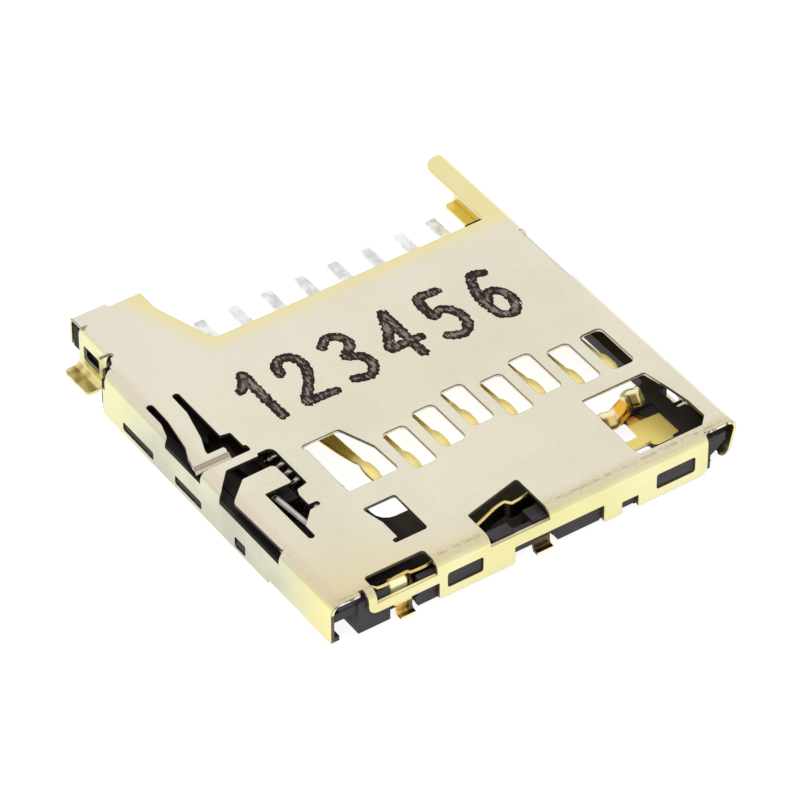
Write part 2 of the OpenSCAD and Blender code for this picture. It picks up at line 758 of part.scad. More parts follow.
// Centre line of the eject spring: closed end turns and open turns between
spring_deep = channel_deep;
spring_free = spring_deep - spring_seat - spring_wire;
spring_dead = 1.5;
dead_pitch = spring_wire * 1.02;
spring_open = (spring_free - 2 * spring_dead * dead_pitch) / spring_pitch;
spring_turns = spring_open + 2 * spring_dead;
spring_steps = 12;
spring_sides = 6;

function spring_y(t) =
  t < spring_dead ? t * dead_pitch
    : t < spring_dead + spring_open ? spring_dead * dead_pitch + (t - spring_dead) * spring_pitch
    : spring_free - (spring_turns - t) * dead_pitch;

// Ring of points round the wire at turn t
function spring_ring(t) =
  let (a = 360 * t, y = spring_seat + spring_wire / 2 + spring_y(t))
  [for (j = [0:spring_sides - 1])
    let (b = 360 * j / spring_sides, r = spring_r + spring_wire / 2 * cos(b))
    [spring_x + r * cos(a), y + spring_wire / 2 * sin(b), spring_z + r * sin(a)]];

module eject_spring() {
  count = floor(spring_turns * spring_steps);
  points = [for (i = [0:count]) each spring_ring(i / spring_steps)];
  sides = spring_sides;
  faces = concat(
    [[for (j = [0:sides - 1]) j]],
    [for (i = [0:count - 1]) for (j = [0:sides - 1])
      [i * sides + j, (i + 1) * sides + j, (i + 1) * sides + (j + 1) % sides, i * sides + (j + 1) % sides]],
    [[for (j = [sides - 1:-1:0]) count * sides + j]]);
  color([0.7, 0.7, 0.68])
    placed()
      polyhedron(points, faces, convexity = 10);
}

// Bent wire: one leg turns in the base, the other follows the track
module latch_wire() {
  corner = 0.2;
  color([0.78, 0.77, 0.74])
    placed()
      translate([pivot.x, pivot.y, 0])
        rotate([0, 0, pin_angle]) {
          translate([0, -corner, run_z])
            rotate([90, 0, 0])
              cylinder(r = wire_d / 2, h = pin_length - 2 * corner);
          translate([0, 0, pin_foot_z])
            cylinder(r = wire_d / 2, h = run_z - corner - pin_foot_z);
          translate([0, -pin_length, follower_z])
            cylinder(r = wire_d / 2, h = run_z - corner - follower_z);
          wire_corner([0, -corner, run_z - corner], corner, 0);
          wire_corner([0, -pin_length + corner, run_z - corner], corner, 180);
        }
}

// Quarter bend of the wire in an upright plane, turned about Z
module wire_corner(at, r, turn) {
  translate(at)
    rotate([0, 0, turn])
      rotate([90, 0, 90])
        rotate_extrude(angle = 90)
          translate([r, 0])
            circle(wire_d / 2);
}

// Upright soldering tail that ends in a foot on the board
module switch_tail(cx, w, top) {
  along_x(cx - w / 2, cx + w / 2)
    polygon(strip_points([
      [terminal_y + blade_t / 2, top], [terminal_y + blade_t / 2, 0.18],
      [terminal_y + 0.1, blade_t / 2], [y_deep - 0.01, blade_t / 2]
    ], blade_t));
}

// Long blade of the switch: tail, plate, fold over to the blade, and the curled tip that the card pushes
module switch_blade() {
  color([0.9, 0.74, 0.36])
    placed() {
      switch_tail(blade_tail_x, 0.5, 0.6);
      block(blade_term_x - 0.26, terminal_y, 0.55, blade_term_x + 0.26, terminal_y + blade_t, blade_z1);
      block(6.14, 3.62, blade_z1 - blade_t, 6.5, terminal_y + blade_t, blade_z1);
      translate([0, 0, blade_z0])
        linear_extrude(blade_z1 - blade_z0)
          polygon(strip_points([
            [7.05, 3.6], [6.93, 3.76], [6.64, 3.76], [6.45, 3.68], [5.98, 3.65], [5.9, 3.74],
            [5.3, 3.74], [3.49, 3.24], [2.74, 2.96], [2.36, 2.9], [2.24, 3.06], [1.64, 2.98],
            [-1.2, 2.14], [-1.45, 1.98], [-1.62, 1.78], [-1.86, 1.74], [-2.1, 1.55], [-2.36, 1.5],
            [-2.58, 1.32], [-2.82, 1.34], [-3.02, 1.2], [-3.2, 1.22], [-3.3, 1.34]
          ], blade_t));
    }
}

// Fixed plate of the switch: pad in the far corner, arm laid in the floor, and tail
module plate_solid() {
  slab([
    [-3.58, 1.68, 0.04], [-3.16, 1.66, 0.06], [-3.12, 1.34, 0.04], [-2.7, 1.34, 0.08], [-2.6, 1.62, 0.1],
    [-2.58, 2.14, 0.08], [plate_term_x + 0.26, 2.14, 0.2],
    [plate_term_x + 0.26, terminal_y + blade_t, 0], [plate_term_x - 0.26, terminal_y + blade_t, 0],
    [plate_term_x - 0.26, 2.64, 0.1], [-2.74, 2.64, 0.05], [-2.82, 2.72, 0.03],
    [-3.3, 2.72, 0.04], [-3.36, 2.6, 0.04], [-3.58, 2.58, 0.04]
  ], plate_z, plate_z + blade_t);
}

module switch_plate() {
  color([0.93, 0.78, 0.4])
    placed() {
      plate_solid();
      switch_tail(plate_term_x, 0.52, plate_z + 0.05);
    }
}

shell();
housing();
contact(1);  // contact_1
contact(2);  // contact_2
contact(3);  // contact_3
contact(4);  // contact_4
contact(5);  // contact_5
contact(6);  // contact_6
contact(7);  // contact_7
contact(8);  // contact_8
slider();
eject_spring();
latch_wire();
switch_blade();
switch_plate();
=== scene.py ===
"""A push-push memory card socket on a white table, seen from its deep end."""

import math
import bmesh
import bpy
import numpy as np
from mathutils import Matrix, Vector, noise


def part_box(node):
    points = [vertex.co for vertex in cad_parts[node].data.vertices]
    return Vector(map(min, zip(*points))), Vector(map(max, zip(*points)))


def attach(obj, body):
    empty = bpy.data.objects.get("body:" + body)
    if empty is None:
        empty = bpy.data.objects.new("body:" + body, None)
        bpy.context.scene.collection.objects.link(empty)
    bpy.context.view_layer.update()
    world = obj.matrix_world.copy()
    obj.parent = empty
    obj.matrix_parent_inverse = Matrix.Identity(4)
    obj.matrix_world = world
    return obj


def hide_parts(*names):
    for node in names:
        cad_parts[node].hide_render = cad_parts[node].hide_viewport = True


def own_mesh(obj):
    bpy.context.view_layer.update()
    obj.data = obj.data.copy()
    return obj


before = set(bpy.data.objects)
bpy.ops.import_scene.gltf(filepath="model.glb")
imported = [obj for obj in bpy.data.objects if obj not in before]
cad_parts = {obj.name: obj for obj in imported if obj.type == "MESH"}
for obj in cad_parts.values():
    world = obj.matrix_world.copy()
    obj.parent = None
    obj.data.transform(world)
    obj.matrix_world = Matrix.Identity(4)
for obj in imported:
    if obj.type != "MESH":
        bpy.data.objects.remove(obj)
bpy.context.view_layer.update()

# Moulded base
# Glass-filled black resin, injection moulded: floor, ejector channel, rails, posts and bosses.
# The tool leaves a fine matt texture and slightly rounded corners, and the fibres show as faint flecks.
MM = 0.001


class Reading:
    """A value read over a surface; arithmetic on it adds the Math nodes."""

    def __init__(self, finish, socket):
        self.finish = finish
        self.socket = socket

    def math(self, operation, *others, clamp=False):
        return self.finish.node(
            "ShaderNodeMath", {"operation": operation, "use_clamp": clamp}, dict(enumerate((self, *others)))
        )

    def __add__(self, other):
        return self.math("ADD", other)

    def __sub__(self, other):
        return self.math("SUBTRACT", other)

    def __rsub__(self, other):
        return self.finish.node("ShaderNodeMath", {"operation": "SUBTRACT"}, {0: other, 1: self})

    def __mul__(self, other):
        return self.math("MULTIPLY", other)

    __radd__ = __add__
    __rmul__ = __mul__

    def held(self):
        """The value held between 0 and 1."""
        return self.math("ADD", 0.0, clamp=True)

    def rising(self, low, high):
        """0 below low, 1 above high, and smooth between them; high may lie below low."""
        return self.finish.node(
            "ShaderNodeMapRange",
            {"interpolation_type": "SMOOTHSTEP"},
            {"Value": self, "From Min": low, "From Max": high},
        )

    def near(self, centre, reach):
        """1 at centre, falling to 0 at a distance of reach."""
        return (self - centre).math("ABSOLUTE").rising(reach, 0.0)


def socket_name(words):
    """base_color gives Base Color."""
    return words.replace("_", " ").title().replace("Ior", "IOR")


class Finish:
    """One material: metal or resin, with its colour, gloss and relief."""

    def __init__(self, name, **fixed):
        self.material = bpy.data.materials.new(name)
        self.material.use_nodes = True
        self.tree = self.material.node_tree
        self.shader = self.tree.nodes["Principled BSDF"]
        for words, value in fixed.items():
            self.shader.inputs[socket_name(words)].default_value = value

    def node(self, kind, settings, inputs, out=0):
        """Adds a node of a kind: its settings first, then the values or links of its sockets."""
        made = self.tree.nodes.new(kind)
        for key, value in settings.items():
            setattr(made, key, value)
        for key, value in inputs.items():
            if isinstance(value, Reading):
                self.tree.links.new(value.socket, made.inputs[key])
            else:
                made.inputs[key].default_value = value
        return Reading(self, made.outputs[out])

    def place(self, stretch=(1, 1, 1)):
        """The place on the piece in millimetres, stretched for grain that runs one way."""
        found = self.node("ShaderNodeTexCoord", {}, {}, "Object")
        size = tuple(1000.0 * s for s in stretch)
        return self.node("ShaderNodeVectorMath", {"operation": "MULTIPLY"}, {0: found, 1: size})

    def along(self, axis):
        """The place in millimetres on one axis of the part."""
        return self.node("ShaderNodeSeparateXYZ", {}, {0: self.place()}, axis)

    def facing(self, axis):
        """How far the surface faces along one axis of the part."""
        found = self.node("ShaderNodeNewGeometry", {}, {}, "Normal")
        return self.node("ShaderNodeSeparateXYZ", {}, {0: found}, axis)

    def cloud(self, per_mm, stretch=(1, 1, 1), detail=3.0, rough=0.55):
        """Soft uneven patches, so many to the millimetre."""
        return self.node(
            "ShaderNodeTexNoise",
            {},
            {"Vector": self.place(stretch), "Scale": per_mm, "Detail": detail, "Roughness": rough},
        )

    def mark(self, name):
        """A value painted on the mesh when the piece was made."""
        return self.node("ShaderNodeAttribute", {"attribute_name": name}, {}, "Fac")

    def tint(self, first, second, share):
        """The first colour, turning into the second where share is 1."""
        return self.node(
            "ShaderNodeMix",
            {"data_type": "RGBA"},
            {
                0: share,
                6: first if isinstance(first, Reading) else (*first, 1.0),
                7: second if isinstance(second, Reading) else (*second, 1.0),
            },
            2,
        )

    def wear(self, **varied):
        """Links what varies over the surface to the shader."""
        for words, value in varied.items():
            self.tree.links.new(value.socket, self.shader.inputs[socket_name(words)])

    def relief(self, height, depth):
        """Raises the surface by height times depth, in millimetres."""
        bump = self.node("ShaderNodeBump", {}, {"Strength": 1.0, "Distance": depth * MM, "Height": height})
        self.wear(normal=bump)


def corner_normals(work, smooth):
    """A normal for each face corner, led by the larger faces: flats stay flat beside small rounds."""
    work.normal_update()
    work.verts.index_update()
    weight = [f.calc_area() ** 2 + 1e-12 for f in work.faces]
    work.faces.index_update()
    found = {}
    for v in work.verts:
        left = set(v.link_faces)
        while left:
            group = [left.pop()]
            for face in group:
                for edge in face.edges:
                    if v in edge.verts and edge.calc_face_angle(4) < smooth:
                        joined = [f for f in edge.link_faces if f in left]
                        left.difference_update(joined)
                        group.extend(joined)
            total = sum((f.normal * weight[f.index] for f in group), Vector())
            for face in group:
                found[face.index, v.index] = total.normalized()
    return [found[f.index, c.vert.index] for f in work.faces for c in f.loops]


def placed(work, name, finish):
    """Puts a worked mesh in the scene, with its one finish."""
    data = bpy.data.meshes.new(name)
    work.to_mesh(data)
    work.free()
    data.materials.append(finish.material)
    piece = bpy.data.objects.new(name, data)
    bpy.context.scene.collection.objects.link(piece)
    return piece


def settle(work, name, finish, body, nodes, smooth=40):
    """Turns worked metal or resin, drawn in millimetres, into a piece that stands for its solids."""
    normals = corner_normals(work, math.radians(smooth))
    bmesh.ops.scale(work, vec=(MM, MM, MM), verts=work.verts)
    piece = placed(work, name, finish)
    piece.data.shade_smooth()
    piece.data.normals_split_custom_set(normals)
    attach(piece, body)
    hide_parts(*nodes)
    return piece


def eased(node, edge):
    """The CAD solid in millimetres, its sharp edges eased by a small round that is marked as rim."""
    work = bmesh.new()
    work.from_mesh(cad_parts[node].data)
    bmesh.ops.scale(work, vec=(1 / MM, 1 / MM, 1 / MM), verts=work.verts)
    bmesh.ops.remove_doubles(work, verts=work.verts, dist=0.0005)
    bmesh.ops.dissolve_limit(work, angle_limit=math.radians(0.8), verts=work.verts, edges=work.edges)
    bmesh.ops.dissolve_degenerate(work, dist=0.006, edges=work.edges)
    bmesh.ops.triangulate(work, faces=[f for f in work.faces if len(f.verts) > 4])
    rim = work.faces.layers.float.new("rim")
    sharp = [e for e in work.edges if e.calc_face_angle(0) > math.radians(40)]
    rounds = bmesh.ops.bevel(
        work, geom=sharp, offset=edge, segments=2, profile=0.6, affect="EDGES", clamp_overlap=False
    )
    for face in rounds["faces"]:
        face[rim] = 1.0
    low, high = (Vector(corner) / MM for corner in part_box(node))
    for v in work.verts:
        v.co = [min(max(c, a), b) for c, a, b in zip(v.co, low, high)]
    return work


resin = Finish("black_resin", ior=1.52, specular_ior_level=0.35)
fibres = resin.cloud(9, (0.35, 1.6, 1.0), 2)
mottle = resin.cloud(1.2)
shade = (mottle * 0.6 + fibres * 0.5).rising(0.35, 0.8)
resin_colour = resin.tint((0.016, 0.011, 0.012), (0.040, 0.033, 0.040), shade)
# Painted shade: the resin is darker under the shell, and darker still in the ejector channel
under_shell_shade = resin.along(1).rising(6.55, 6.2) * resin.along(2).rising(0.1, 0.5)
channel = under_shell_shade * resin.along(0).rising(2.6, 3.0)
resin_colour = resin.tint(resin_colour, (0.016, 0.012, 0.012), under_shell_shade * 0.65)
resin.wear(
    base_color=resin.tint(resin_colour, (0.006, 0.004, 0.004), channel * 0.85),
    roughness=0.42 + fibres * 0.16 + mottle * 0.1 + channel * 0.15,
)
resin.relief(resin.cloud(26, detail=4) * 0.6 + fibres * 0.5, 0.004)

# Forms are worked in millimetres, and their places are given from this point of the part's frame
drawing_zero = Vector((-2.025, 2.8, 0.0))
base_work = eased("housing", 0.016)
for v in base_work.verts:
    x, y, z = v.co - drawing_zero
    # The floor shows a little past the end of the shell's deep wall, under the far corner's post
    if -3.56 < x < -3.44 and y > 3.9 and z < 0.6:
        v.co.x -= 0.08
    if -3.76 < x < -3.66 and y > 3.4 and 0.5 < z < 0.6:
        v.co.z += 0.08
    # The well under the contacts widens a little towards the mouth
    if 4.8 < x < 5.1 and -3.6 < y < -3.2 and z < 0.5:
        v.co.x += 0.1
settle(base_work, "moulded_base", resin, "socket", ["housing"])

# Card contacts
# Eight strips stamped from thin copper alloy: a tinned tail for the board, a held root and a tapering beam.
# The beam rises to a spoon-shaped crest, gold plated where it rubs on the card.
contact_thick = 0.12
contact_pitch = 1.1
first_contact_x = 4.4
crest_step = 0.26
crest_steps = (1, 0, 1, 2, 1, 2, 1, 1)
inset = 0.002


def flowing(points, steps):
    """A smooth line through the points, with so many steps between each two."""
    p = [Vector(q) for q in points]
    p = [2 * p[0] - p[1], *p, 2 * p[-1] - p[-2]]
    line = []
    for i in range(1, len(p) - 2):
        for j in range(steps):
            t = j / steps
            a = 2 * p[i]
            b = p[i + 1] - p[i - 1]
            c = 2 * p[i - 1] - 5 * p[i] + 4 * p[i + 1] - p[i + 2]
            d = 3 * p[i] - p[i - 1] - 3 * p[i + 1] + p[i + 2]
            line.append((a + b * t + c * t * t + d * t * t * t) / 2)
    line.append(p[-2])
    return line


def strip(work, line, across, widths, thick, form=None, inner=(-0.4, 0.4), ease=0.25):
    """Adds a stamped strip that follows a line; across holds the way its width lies at each point.

    form gives how far the strip is pressed out of its own plane at point i and at a share of its width."""
    rings = []
    count = len(line)
    for i, place in enumerate(line):
        ahead = (line[min(i + 1, count - 1)] - line[max(i - 1, 0)]).normalized()
        side = (across[i] - ahead * across[i].dot(ahead)).normalized()
        up = side.cross(ahead)
        w = widths[i]
        e = min(thick * ease, w * 0.6)
        h = thick / 2
        profile = [
            (-w, -h + e), (-w + e, -h), *((w * u, -h) for u in inner), (w - e, -h), (w, -h + e),
            (w, h - e), (w - e, h), *((w * u, h) for u in reversed(inner)), (-w + e, h), (-w, h - e),
        ]
        pressed = [form(i, u / w) if form else 0.0 for u, v in profile]
        rings.append([
            work.verts.new(place + side * u + up * (v + lift)) for (u, v), lift in zip(profile, pressed)
        ])
    for a, b in zip(rings, rings[1:]):
        for j in range(len(a)):
            k = (j + 1) % len(a)
            work.faces.new((a[j], a[k], b[k], b[j]))
    work.faces.new(rings[0][::-1])
    work.faces.new(rings[-1])


tinned = Finish("gold_and_tin")
draw = tinned.cloud(3.0, (6, 0.5, 2))
patch = tinned.cloud(2.2)
smear = tinned.cloud(3.2, (1, 0.7, 1), 2)
tail = tinned.along(1).rising(-4.5, -4.9)
golden = tinned.tint((0.93, 0.62, 0.10), (0.98, 0.73, 0.19), patch.rising(0.35, 0.65))
rubbed_crest = tinned.along(2).rising(0.72, 0.84)
golden = tinned.tint(golden, (1.0, 0.83, 0.33), rubbed_crest)
tin = tinned.tint((0.72, 0.72, 0.715), (0.97, 0.97, 0.96), smear.rising(0.36, 0.62))
tinned.wear(
    base_color=tinned.tint(golden, tin, tail),
    metallic=0.85 - rubbed_crest * 0.3,
    roughness=0.18 + draw * 0.14 + rubbed_crest * 0.14 + tail * 0.17,
)
tinned.relief(draw * 0.7 + tinned.cloud(11) * (0.4 + tail), 0.003)


def contact(number):
    """One contact, counted from the ejector side."""
    x = first_contact_x - contact_pitch * (number - 1)
    crest = -0.04 - crest_step * crest_steps[number - 1]
    h = contact_thick / 2 + inset
    # Along the card's way in, height and half width: tail, root, beam and crest
    course = [
        (-8.75, h, 0.160), (-8.72, h, 0.172), (-8.4, h, 0.175), (-8.02, h, 0.175), (-7.86, h + 0.05, 0.175),
        (-7.56, 0.26, 0.175), (-7.42, 0.31, 0.175), (-7.3, 0.31, 0.27), (-5.5, 0.31, 0.273),
        (-3.5, 0.31, 0.268), (-2.6, 0.455, 0.24), (-1.7, 0.6, 0.19), (crest - 0.75, 0.735, 0.135),
        (crest - 0.48, 0.8, 0.1), (crest - 0.3, 0.862, 0.15), (crest - 0.12, 0.892, 0.172),
        (crest, 0.898, 0.176), (crest + 0.14, 0.885, 0.172), (crest + 0.28, 0.838, 0.15),
        (crest + 0.38, 0.782, 0.105), (crest + 0.405, 0.762, 0.06),
    ]
    line = flowing([(x, y, z) for y, z, w in course], 4)
    widths = [v.x for v in flowing([(w, 0, 0) for y, z, w in course], 4)]
    crown = [0.05 * max(0.0, 1 - abs(p.y - crest) / 0.42) for p in line]
    work = bmesh.new()
    strip(
        work, [p + drawing_zero for p in line], [Vector((1, 0, 0))] * len(line), widths,
        contact_thick - 2 * inset, lambda i, share: -crown[i] * share ** 2,
    )
    bmesh.ops.recalc_face_normals(work, faces=work.faces)
    return work


for number in range(1, 9):
    node = f"contact_{number}"
    settle(contact(number), f"contact_strip_{number}", tinned, "socket", [node], 50)

# Ejector slider
# A small carriage in self-lubricating black resin that the card pushes in against the spring.
# Its top carries the heart-shaped track, and its polish varies in soft patches.
acetal = Finish("black_acetal", ior=1.48, specular_ior_level=0.2)
polish = acetal.cloud(1.6)
grain = acetal.cloud(22, detail=4)
acetal.wear(
    base_color=acetal.tint((0.008, 0.006, 0.005), (0.018, 0.014, 0.013), polish.rising(0.3, 0.75)),
    roughness=0.34 + polish * 0.2 + grain * 0.08,
)
acetal.relief(grain, 0.003)
settle(eased("slider", 0.016), "ejector_slider", acetal, "ejector", ["slider"])

# Eject spring
# A long compression spring of drawn steel wire with closed ends, between the slider and the base.
# It shortens along the channel as the slider goes in.
spring_x, spring_z = 6.14, 0.73
spring_low, spring_high = -4.889, 2.739
wire_thick = 0.16
coil_radius = (0.86 - wire_thick) / 2
open_pitch = 0.37
closed_pitch = wire_thick * 1.02


def tube(work, line, thick, sides=10):
    """Adds a round wire along a line."""
    rings = []
    count = len(line)
    up = Vector((0.05, 0.1, 1.0))
    for i, place in enumerate(line):
        ahead = (line[min(i + 1, count - 1)] - line[max(i - 1, 0)]).normalized()
        side = up.cross(ahead).normalized()
        up = ahead.cross(side)
        turn = [2 * math.pi * j / sides for j in range(sides)]
        rings.append(
            [work.verts.new(place + (side * math.cos(a) + up * math.sin(a)) * thick / 2) for a in turn]
        )
    for a, b in zip(rings, rings[1:]):
        for j in range(sides):
            k = (j + 1) % sides
            work.faces.new((a[j], a[k], b[k], b[j]))
    work.faces.new(rings[0][::-1])
    work.faces.new(rings[-1])


def coil():
    """The spring's wire: one and a half closed turns at each end, open turns between them."""
    closed = 1.5
    per_turn = 28
    length = spring_high - spring_low - wire_thick
    closed_rise = closed * closed_pitch
    open_turns = (length - 2 * closed_rise) / open_pitch
    turns = open_turns + 2 * closed
    line = []
    for i in range(int(turns * per_turn) + 1):
        t = i / per_turn
        if t < closed:
            y = t * closed_pitch
        elif t < closed + open_turns:
            y = closed_rise + (t - closed) * open_pitch
        else:
            y = length - (turns - t) * closed_pitch
        a = 2 * math.pi * t
        line.append(
            Vector((
                spring_x + coil_radius * math.cos(a),
                spring_low + wire_thick / 2 + y,
                spring_z + coil_radius * math.sin(a),
            )) + drawing_zero
        )
    work = bmesh.new()
    tube(work, line, wire_thick)
    bmesh.ops.recalc_face_normals(work, faces=work.faces)
    return work


steel = Finish("drawn_steel", metallic=1.0)
draw = steel.cloud(2.0, (5, 0.7, 5))
steel.wear(
    base_color=steel.tint((0.40, 0.38, 0.36), (0.66, 0.63, 0.60), draw.rising(0.3, 0.7)),
    roughness=0.14 + draw * 0.14,
)
steel.relief(draw + steel.cloud(18) * 0.4, 0.002)
spring = settle(coil(), "eject_coil", steel, "socket", ["eject_spring"], 60)
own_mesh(spring)

# Latch wire
# A bent steel wire: one leg turns in the base, and the other runs round the slider's track.
# It swings a little to each side as the slider moves.
latch_thick = 0.2
latch_bend = 0.2
run_z = 1.13
pivot = Vector((6.85, 3.05, 0.0))
follower = Vector((7.22, -0.72, 0.0))


def latch():
    """The wire from the pivot leg over the run to the follower leg."""
    way = (follower - pivot).normalized() * latch_bend
    corner = [(1 - math.cos(a), math.sin(a)) for a in (math.pi / 2 * i / 8 for i in range(9))]
    rise = [Vector((0, 0, run_z - latch_bend + latch_bend * v)) for u, v in corner]
    down = [pivot + Vector((0, 0, z)) for z in (0.55, 0.75)]
    first = [pivot + way * u + up for (u, v), up in zip(corner, rise)]
    last = [follower - way * u + up for (u, v), up in zip(corner, rise)][::-1]
    line = [*down, *first, *last, follower + Vector((0, 0, 0.8))]
    work = bmesh.new()
    tube(work, [p + drawing_zero for p in line], latch_thick - inset, 16)
    bmesh.ops.recalc_face_normals(work, faces=work.faces)
    return work


settle(latch(), "latch_pin", steel, "latch", ["latch_wire"], 60)

# Switch blade
# A gold-plated spring strip on edge behind the card, stamped with its terminal, fold and soldering tail.
# Its dimpled tip leans over the far corner, where the card pushes it on to the fixed plate.
blade_thick = 0.1
blade_low, blade_top = 0.66, 1.2
tip_lean = math.radians(38)
dimple_x = -2.42
terminal_half_width = 0.25


def blade():
    """Blade with its dimpled and curled tip, fold, terminal plate and tail."""
    work = bmesh.new()
    middle = (blade_low + blade_top) / 2
    # Seen from above, from the terminal's end to the tip
    plan = [
        (7.06, 3.585), (6.98, 3.7), (6.9, 3.745), (6.7, 3.75), (6.56, 3.72), (6.4, 3.67), (6.0, 3.655),
        (5.93, 3.69), (5.86, 3.735), (5.3, 3.735), (4.4, 3.5), (3.49, 3.24), (2.9, 3.03), (2.66, 2.95),
        (2.4, 2.91), (2.33, 2.95), (2.25, 3.05), (2.15, 3.055), (1.64, 2.98), (0.2, 2.56), (-1.1, 2.17),
        (-1.36, 2.06), (-1.52, 1.9), (-1.62, 1.72), (-1.76, 1.66), (-1.9, 1.7), (-2.04, 1.72),
        (-2.2, 1.66), (-2.42, 1.56), (-2.64, 1.46), (-2.76, 1.34), (-2.88, 1.28), (-3.0, 1.31),
        (-3.12, 1.34), (-3.22, 1.3), (-3.28, 1.22),
    ]
    line = flowing([(x, y, middle) for x, y in plan], 5)
    reach = (blade_top - blade_low) / 2
    lean = [tip_lean * min(1.0, max(0.0, (-1.35 - p.x) / 0.5)) for p in line]
    across = [Vector((0, -math.sin(a), math.cos(a))) for a in lean]

    def pressed(i, share):
        """The dimple, and edges that roll back on the tip."""
        off = ((line[i].x - dimple_x) / 0.3) ** 2 + ((share + 0.05) / 0.62) ** 2
        return -0.075 * max(0.0, 1 - off) ** 0.8 + 0.1 * lean[i] * share ** 4

    strip(
        work, [p + drawing_zero for p in line], across, [reach] * len(line), blade_thick, pressed,
        (-0.78, -0.62, -0.46, -0.3, -0.14, 0.02, 0.18, 0.34, 0.5, 0.66, 0.8), 0.3,
    )
    # Over the top edge, down the back of the base and out along the board
    terminal = [
        (6.34, 3.68, 1.15), (6.36, 3.78, 1.155), (6.38, 3.83, 1.14), (6.395, 3.858, 1.09), (6.4, 3.86, 1.0),
        (6.4, 3.86, 0.8), (6.36, 3.86, 0.62), (6.26, 3.86, 0.5), (6.2, 3.86, 0.4), (6.2, 3.86, 0.24),
        (6.2, 3.875, 0.14), (6.2, 3.92, 0.07), (6.2, 3.98, 0.05), (6.2, 4.085, 0.05),
    ]
    line = flowing(terminal, 4)
    strip(
        work, [p + drawing_zero for p in line], [Vector((1, 0, 0))] * len(line),
        [terminal_half_width] * len(line), blade_thick - 2 * inset, ease=0.3,
    )
    bmesh.ops.recalc_face_normals(work, faces=work.faces)
    return work


# The marks below lie at places in millimetres in the part's own frame
contact_gold = Finish("switch_gold")
x_mm, y_mm, z_mm = (contact_gold.along(axis) for axis in range(3))
patch = contact_gold.cloud(1.1).rising(0.35, 0.65)
grain = contact_gold.cloud(12, detail=4)
streak = contact_gold.cloud(1.9, (1.4, 1, 0.6), 1).rising(0.44, 0.56)
upright = contact_gold.facing(1).rising(0.4, 0.8)
gold_colour = contact_gold.tint((0.88, 0.64, 0.19), (0.95, 0.78, 0.36), patch)

# The fixed plate, and its tongue in the shade of the blade
pad = z_mm.rising(0.46, 0.42) * y_mm.rising(6.4, 6.2)
gold_colour = contact_gold.tint(gold_colour, (1.0, 0.80, 0.25), pad)
tongue_colour = contact_gold.tint((0.98, 0.52, 0.06), (0.16, 0.08, 0.02), x_mm.rising(-4.96, -5.02))
gold_colour = contact_gold.tint(gold_colour, tongue_colour, pad * y_mm.rising(4.50, 4.42))

# The blade's tip: painted shade in its creases, a painted highlight along its top edge, and painted amber
# shade in its dimple
crease_shade = x_mm.near(-3.74, 0.24).rising(0.1, 0.6) + x_mm.near(-4.97, 0.2).rising(0.1, 0.6)
crease_shade = crease_shade * z_mm.near(0.9, 0.26).rising(0.15, 0.6) * y_mm.rising(5.0, 4.9)
gold_colour = contact_gold.tint(gold_colour, (0.14, 0.085, 0.02), crease_shade * 0.85)
# Painted highlight along the tip's top edge
lit_edge = z_mm.rising(1.04, 1.1) * x_mm.rising(-3.3, -3.5)
gold_colour = contact_gold.tint(gold_colour, (1.0, 0.93, 0.60), lit_edge)
# Painted amber shade in the dimple
dimple = (x_mm + 4.43) * (x_mm + 4.43) + (y_mm - 4.36) * (y_mm - 4.36)
dimple = dimple.rising(0.1, 0.03) * z_mm.rising(0.6, 0.7)
gold_colour = contact_gold.tint(gold_colour, (0.95, 0.50, 0.06), dimple)

# The terminal under the shell's strap, and the tails on the board, both in painted light and shade
terminal = y_mm.rising(6.5, 6.6) * z_mm.rising(0.5, 0.7) * x_mm.near(4.36, 0.34).rising(0.05, 0.15)
# Painted reflection makes the terminal's upright face pale; where it folds over the top under the strap it
# is brown in painted shade
terminal_light_and_shade = contact_gold.tint((0.98, 0.93, 0.56), (0.72, 0.44, 0.20), y_mm.rising(6.585, 6.56))
gold_colour = contact_gold.tint(gold_colour, terminal_light_and_shade, terminal)
# Painted light and shade on the tails: amber on their lit side, dark brown on their shaded side, with
# darker streaks, and a painted highlight on the pale foot
amber_side = (x_mm + streak * 0.16).rising(4.16, 4.3)
tail_light_and_shade = contact_gold.tint((0.13, 0.09, 0.032), (0.72, 0.44, 0.09), amber_side)
tail_light_and_shade = contact_gold.tint(tail_light_and_shade, (0.08, 0.055, 0.02), streak * 0.55)
tail_light_and_shade = contact_gold.tint(tail_light_and_shade, (0.95, 0.88, 0.58), y_mm.rising(6.865, 6.88))

# The blade's deep face, which is out of the light
behind_card = y_mm.rising(6.3, 6.1) * x_mm.rising(-2.6, -2.3)
behind_card = behind_card.math("MAXIMUM", x_mm.near(3.6, 0.5).rising(0.1, 0.2))
behind_card = behind_card * upright * z_mm.rising(1.19, 1.15) * z_mm.rising(0.6, 0.64)
tail_light_and_shade = contact_gold.tint(tail_light_and_shade, (0.075, 0.052, 0.028), behind_card)
# The tails and the blade's shaded deep face both take these painted colours
tail = (y_mm.rising(6.5, 6.6) * z_mm.rising(0.45, 0.38)).math("MAXIMUM", behind_card)
contact_gold.wear(
    base_color=contact_gold.tint(gold_colour, tail_light_and_shade, tail),
    metallic=0.95 - pad * 0.35 - terminal * 0.45,
    roughness=0.2 + grain * 0.12 + pad * 0.14 + terminal * 0.15,
)
contact_gold.relief(grain + patch * 0.5, 0.0025)
settle(blade(), "switch_blade_strip", contact_gold, "socket", ["switch_blade"], 50)

